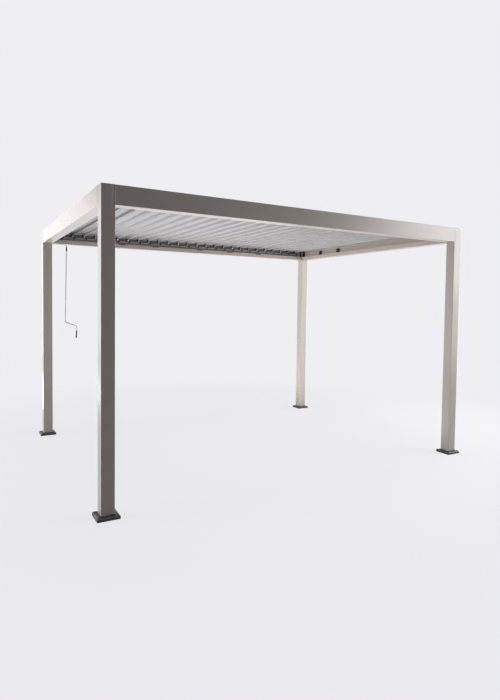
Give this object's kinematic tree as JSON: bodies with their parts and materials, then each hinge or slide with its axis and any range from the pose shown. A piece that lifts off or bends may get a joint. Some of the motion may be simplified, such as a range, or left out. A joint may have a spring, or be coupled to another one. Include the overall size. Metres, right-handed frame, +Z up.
{
  "type": "louvred pergola",
  "caption": "Free-standing flat-roofed pergola on four square posts, with tilting louvres, gutters in the beams and a hanging crank.",
  "frame": {"origin": "on the ground under the middle of the roof", "axes": "+X along the long side to the right, +Y from the front to the back, +Z up"},
  "size_m": [4.002, 3.042, 2.5],
  "materials": {
    "frame_paint": "satin warm grey powder coat",
    "louvre_paint": "satin light grey powder coat",
    "foot_plastic": "dark moulded plastic, slightly worn",
    "black_plastic": "matte black moulded plastic",
    "bar_metal": "satin grey powder coat",
    "socket_metal": "zinc plated",
    "crank_paint": "satin grey",
    "grip_plastic": "dark soft-touch plastic"
  },
  "bodies": {
    "frame": {"post_front_left": "frame_paint", "foot_front_left": "foot_plastic", "post_front_right": "frame_paint", "foot_front_right": "foot_plastic", "post_back_left": "frame_paint", "foot_back_left": "foot_plastic", "post_back_right": "frame_paint", "foot_back_right": "foot_plastic", "beam_front": "frame_paint", "beam_back": "frame_paint", "beam_left": "frame_paint", "beam_right": "frame_paint", "bearing_rail_front": "black_plastic", "bearing_rail_back": "black_plastic", "gutter_brackets_left": "black_plastic", "gutter_brackets_right": "black_plastic", "gearbox": "black_plastic", "flashing_left": "frame_paint", "flashing_right": "frame_paint", "crank_socket": "socket_metal"},
    "louvre_01": {"louvre_01": "louvre_paint"},
    "louvre_02": {"louvre_02": "louvre_paint"},
    "louvre_03": {"louvre_03": "louvre_paint"},
    "louvre_04": {"louvre_04": "louvre_paint"},
    "louvre_05": {"louvre_05": "louvre_paint"},
    "louvre_06": {"louvre_06": "louvre_paint"},
    "louvre_07": {"louvre_07": "louvre_paint"},
    "louvre_08": {"louvre_08": "louvre_paint"},
    "louvre_09": {"louvre_09": "louvre_paint"},
    "louvre_10": {"louvre_10": "louvre_paint"},
    "louvre_11": {"louvre_11": "louvre_paint"},
    "louvre_12": {"louvre_12": "louvre_paint"},
    "louvre_13": {"louvre_13": "louvre_paint"},
    "louvre_14": {"louvre_14": "louvre_paint"},
    "louvre_15": {"louvre_15": "louvre_paint"},
    "louvre_16": {"louvre_16": "louvre_paint"},
    "louvre_17": {"louvre_17": "louvre_paint"},
    "louvre_18": {"louvre_18": "louvre_paint"},
    "louvre_19": {"louvre_19": "louvre_paint"},
    "louvre_20": {"louvre_20": "louvre_paint"},
    "louvre_21": {"louvre_21": "louvre_paint"},
    "louvre_22": {"louvre_22": "louvre_paint"},
    "louvre_23": {"louvre_23": "louvre_paint"},
    "louvre_24": {"louvre_24": "louvre_paint"},
    "louvre_25": {"louvre_25": "louvre_paint"},
    "louvre_26": {"louvre_26": "louvre_paint"},
    "tilt_bar": {"tilt_bar": "bar_metal"},
    "crank": {"crank_rod": "crank_paint", "crank_grip": "grip_plastic"}
  },
  "joints": [
    {"name": "louvre_01_tilt", "type": "hinge", "parent": "frame", "child": "louvre_01", "pos_m": [-1.7525, 0, 2.457], "axis": [0, 1, 0], "range_deg": [0, 90]},
    {"name": "louvre_02_tilt", "type": "hinge", "parent": "frame", "child": "louvre_02", "pos_m": [-1.6123, 0, 2.457], "axis": [0, 1, 0], "range_deg": [0, 90]},
    {"name": "louvre_03_tilt", "type": "hinge", "parent": "frame", "child": "louvre_03", "pos_m": [-1.4721, 0, 2.457], "axis": [0, 1, 0], "range_deg": [0, 90]},
    {"name": "louvre_04_tilt", "type": "hinge", "parent": "frame", "child": "louvre_04", "pos_m": [-1.3319, 0, 2.457], "axis": [0, 1, 0], "range_deg": [0, 90]},
    {"name": "louvre_05_tilt", "type": "hinge", "parent": "frame", "child": "louvre_05", "pos_m": [-1.1917, 0, 2.457], "axis": [0, 1, 0], "range_deg": [0, 90]},
    {"name": "louvre_06_tilt", "type": "hinge", "parent": "frame", "child": "louvre_06", "pos_m": [-1.0515, 0, 2.457], "axis": [0, 1, 0], "range_deg": [0, 90]},
    {"name": "louvre_07_tilt", "type": "hinge", "parent": "frame", "child": "louvre_07", "pos_m": [-0.9113, 0, 2.457], "axis": [0, 1, 0], "range_deg": [0, 90]},
    {"name": "louvre_08_tilt", "type": "hinge", "parent": "frame", "child": "louvre_08", "pos_m": [-0.7711, 0, 2.457], "axis": [0, 1, 0], "range_deg": [0, 90]},
    {"name": "louvre_09_tilt", "type": "hinge", "parent": "frame", "child": "louvre_09", "pos_m": [-0.6309, 0, 2.457], "axis": [0, 1, 0], "range_deg": [0, 90]},
    {"name": "louvre_10_tilt", "type": "hinge", "parent": "frame", "child": "louvre_10", "pos_m": [-0.4907, 0, 2.457], "axis": [0, 1, 0], "range_deg": [0, 90]},
    {"name": "louvre_11_tilt", "type": "hinge", "parent": "frame", "child": "louvre_11", "pos_m": [-0.3505, 0, 2.457], "axis": [0, 1, 0], "range_deg": [0, 90]},
    {"name": "louvre_12_tilt", "type": "hinge", "parent": "frame", "child": "louvre_12", "pos_m": [-0.2103, 0, 2.457], "axis": [0, 1, 0], "range_deg": [0, 90]},
    {"name": "louvre_13_tilt", "type": "hinge", "parent": "frame", "child": "louvre_13", "pos_m": [-0.0701, 0, 2.457], "axis": [0, 1, 0], "range_deg": [0, 90]},
    {"name": "louvre_14_tilt", "type": "hinge", "parent": "frame", "child": "louvre_14", "pos_m": [0.0701, 0, 2.457], "axis": [0, 1, 0], "range_deg": [0, 90]},
    {"name": "louvre_15_tilt", "type": "hinge", "parent": "frame", "child": "louvre_15", "pos_m": [0.2103, 0, 2.457], "axis": [0, 1, 0], "range_deg": [0, 90]},
    {"name": "louvre_16_tilt", "type": "hinge", "parent": "frame", "child": "louvre_16", "pos_m": [0.3505, 0, 2.457], "axis": [0, 1, 0], "range_deg": [0, 90]},
    {"name": "louvre_17_tilt", "type": "hinge", "parent": "frame", "child": "louvre_17", "pos_m": [0.4907, 0, 2.457], "axis": [0, 1, 0], "range_deg": [0, 90]},
    {"name": "louvre_18_tilt", "type": "hinge", "parent": "frame", "child": "louvre_18", "pos_m": [0.6309, 0, 2.457], "axis": [0, 1, 0], "range_deg": [0, 90]},
    {"name": "louvre_19_tilt", "type": "hinge", "parent": "frame", "child": "louvre_19", "pos_m": [0.7711, 0, 2.457], "axis": [0, 1, 0], "range_deg": [0, 90]},
    {"name": "louvre_20_tilt", "type": "hinge", "parent": "frame", "child": "louvre_20", "pos_m": [0.9113, 0, 2.457], "axis": [0, 1, 0], "range_deg": [0, 90]},
    {"name": "louvre_21_tilt", "type": "hinge", "parent": "frame", "child": "louvre_21", "pos_m": [1.0515, 0, 2.457], "axis": [0, 1, 0], "range_deg": [0, 90]},
    {"name": "louvre_22_tilt", "type": "hinge", "parent": "frame", "child": "louvre_22", "pos_m": [1.1917, 0, 2.457], "axis": [0, 1, 0], "range_deg": [0, 90]},
    {"name": "louvre_23_tilt", "type": "hinge", "parent": "frame", "child": "louvre_23", "pos_m": [1.3319, 0, 2.457], "axis": [0, 1, 0], "range_deg": [0, 90]},
    {"name": "louvre_24_tilt", "type": "hinge", "parent": "frame", "child": "louvre_24", "pos_m": [1.4721, 0, 2.457], "axis": [0, 1, 0], "range_deg": [0, 90]},
    {"name": "louvre_25_tilt", "type": "hinge", "parent": "frame", "child": "louvre_25", "pos_m": [1.6123, 0, 2.457], "axis": [0, 1, 0], "range_deg": [0, 90]},
    {"name": "louvre_26_tilt", "type": "hinge", "parent": "frame", "child": "louvre_26", "pos_m": [1.7525, 0, 2.457], "axis": [0, 1, 0], "range_deg": [0, 90]},
    {"name": "tilt_bar_link", "type": "hinge", "parent": "louvre_01", "child": "tilt_bar", "pos_m": [-1.7285, 1.417, 2.433], "axis": [0, 1, 0], "range_deg": [-90, 0]},
    {"name": "crank_turn", "type": "hinge", "parent": "frame", "child": "crank", "pos_m": [-1.6865, 1.411, 2.35], "axis": [0.0175, 0, 0.9998], "range_deg": [0, 1080]}
  ],
  "couplings": [
    {"joint": "louvre_02_tilt", "follows": "louvre_01_tilt", "ratio": 1},
    {"joint": "louvre_03_tilt", "follows": "louvre_01_tilt", "ratio": 1},
    {"joint": "louvre_04_tilt", "follows": "louvre_01_tilt", "ratio": 1},
    {"joint": "louvre_05_tilt", "follows": "louvre_01_tilt", "ratio": 1},
    {"joint": "louvre_06_tilt", "follows": "louvre_01_tilt", "ratio": 1},
    {"joint": "louvre_07_tilt", "follows": "louvre_01_tilt", "ratio": 1},
    {"joint": "louvre_08_tilt", "follows": "louvre_01_tilt", "ratio": 1},
    {"joint": "louvre_09_tilt", "follows": "louvre_01_tilt", "ratio": 1},
    {"joint": "louvre_10_tilt", "follows": "louvre_01_tilt", "ratio": 1},
    {"joint": "louvre_11_tilt", "follows": "louvre_01_tilt", "ratio": 1},
    {"joint": "louvre_12_tilt", "follows": "louvre_01_tilt", "ratio": 1},
    {"joint": "louvre_13_tilt", "follows": "louvre_01_tilt", "ratio": 1},
    {"joint": "louvre_14_tilt", "follows": "louvre_01_tilt", "ratio": 1},
    {"joint": "louvre_15_tilt", "follows": "louvre_01_tilt", "ratio": 1},
    {"joint": "louvre_16_tilt", "follows": "louvre_01_tilt", "ratio": 1},
    {"joint": "louvre_17_tilt", "follows": "louvre_01_tilt", "ratio": 1},
    {"joint": "louvre_18_tilt", "follows": "louvre_01_tilt", "ratio": 1},
    {"joint": "louvre_19_tilt", "follows": "louvre_01_tilt", "ratio": 1},
    {"joint": "louvre_20_tilt", "follows": "louvre_01_tilt", "ratio": 1},
    {"joint": "louvre_21_tilt", "follows": "louvre_01_tilt", "ratio": 1},
    {"joint": "louvre_22_tilt", "follows": "louvre_01_tilt", "ratio": 1},
    {"joint": "louvre_23_tilt", "follows": "louvre_01_tilt", "ratio": 1},
    {"joint": "louvre_24_tilt", "follows": "louvre_01_tilt", "ratio": 1},
    {"joint": "louvre_25_tilt", "follows": "louvre_01_tilt", "ratio": 1},
    {"joint": "louvre_26_tilt", "follows": "louvre_01_tilt", "ratio": 1},
    {"joint": "tilt_bar_link", "follows": "louvre_01_tilt", "ratio": -1},
    {"joint": "crank_turn", "follows": "louvre_01_tilt", "ratio": 12}
  ]
}
